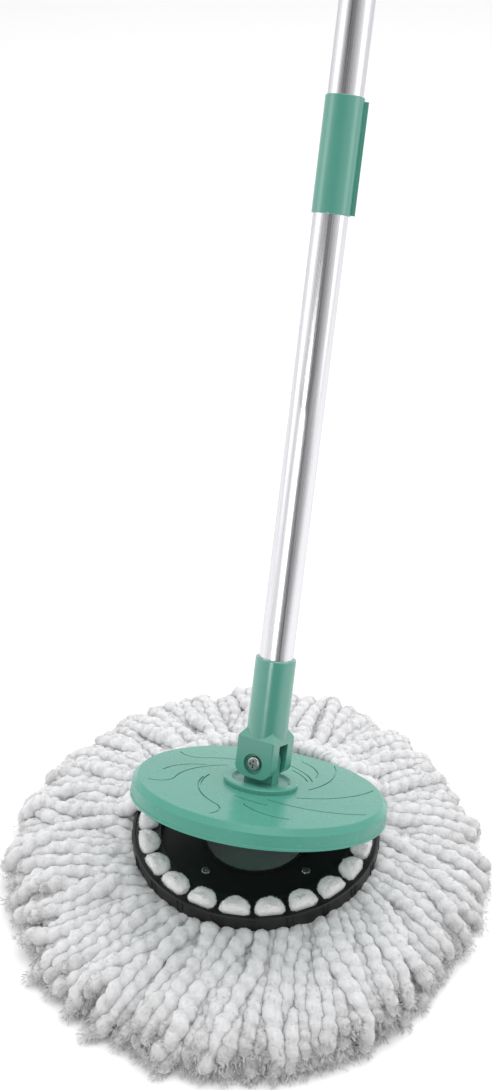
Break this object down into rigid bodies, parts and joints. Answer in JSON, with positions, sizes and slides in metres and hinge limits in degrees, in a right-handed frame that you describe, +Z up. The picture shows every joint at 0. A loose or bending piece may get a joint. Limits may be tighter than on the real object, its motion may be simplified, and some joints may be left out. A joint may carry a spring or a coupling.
{
  "type": "spin mop",
  "caption": "Round spin mop: yarn refill on a black ring, tilting swivel disc that snaps onto it, forked hub and a sectional tube pole.",
  "frame": {"origin": "on the floor, at the centre of the yarn pad's flat underside, straight under the centre of the refill ring", "axes": "+Z up, away from the floor; the pole leans mostly towards +Y and a little towards +X; -Y is the side where the disc stands open"},
  "size_m": [0.33, 0.5958, 1.0853],
  "materials": {
    "green_plastic": "satin",
    "black_plastic": "satin",
    "aluminium_tube": "satin",
    "steel_fastener": "satin",
    "white_yarn": "matte",
    "pale_plastic": "satin"
  },
  "bodies": {
    "refill": {"refill_ring": "black_plastic", "refill_base_plate": "black_plastic", "refill_screws": "steel_fastener", "yarn_retaining_ring": "black_plastic", "yarn_loops": "white_yarn", "yarn_pad": "white_yarn"},
    "disc": {"disc_cover": "green_plastic", "disc_base": "green_plastic", "disc_screws": "steel_fastener", "hub_bush": "pale_plastic"},
    "swivel": {"swivel_hub": "green_plastic", "hub_washer": "pale_plastic", "hub_clip": "steel_fastener"},
    "lower_pole": {"yoke_socket": "green_plastic", "yoke_washers": "pale_plastic", "pivot_screw": "steel_fastener", "pivot_nut": "steel_fastener", "socket_rivet": "steel_fastener", "lower_tube": "aluminium_tube", "lower_coupler_plug": "green_plastic"},
    "lower_sleeve": {"lower_lock_sleeve": "green_plastic"},
    "middle_pole": {"middle_tube": "aluminium_tube", "upper_coupler_plug": "green_plastic"},
    "upper_sleeve": {"upper_lock_sleeve": "green_plastic"},
    "upper_pole": {"upper_tube": "aluminium_tube", "end_cap": "green_plastic"}
  },
  "joints": [
    {"name": "refill_dock", "type": "hinge", "parent": "refill", "child": "disc", "pos_m": [0.0219, 0.0718, 0.1001], "axis": [-0.9295, 0.3141, 0.1935], "range_deg": [-25.1, 0]},
    {"name": "hub_spin", "type": "hinge", "parent": "disc", "child": "swivel", "pos_m": [0.00282, -0.01344, 0.08956], "axis": [0.1162, 0.4, 0.9091], "continuous": true},
    {"name": "pole_tilt", "type": "hinge", "parent": "swivel", "child": "lower_pole", "pos_m": [0.00463, -0.0072, 0.10374], "axis": [-0.5213, -0.7545, 0.3987], "range_deg": [-80, 80]},
    {"name": "lower_sleeve_twist", "type": "hinge", "parent": "lower_pole", "child": "lower_sleeve", "pos_m": [0.04746, 0.14016, 0.43866], "axis": [0.1162, 0.4, 0.9091], "range_deg": [0, 60]},
    {"name": "middle_pole_pull", "type": "slide", "parent": "lower_pole", "child": "middle_pole", "axis": [0.1162, 0.4, 0.9091], "range_m": [0, 0.036]},
    {"name": "upper_sleeve_twist", "type": "hinge", "parent": "middle_pole", "child": "upper_sleeve", "pos_m": [0.08663, 0.27497, 0.74502], "axis": [0.1162, 0.4, 0.9091], "range_deg": [0, 60]},
    {"name": "upper_pole_pull", "type": "slide", "parent": "middle_pole", "child": "upper_pole", "axis": [0.1162, 0.4, 0.9091], "range_m": [0, 0.036]}
  ]
}
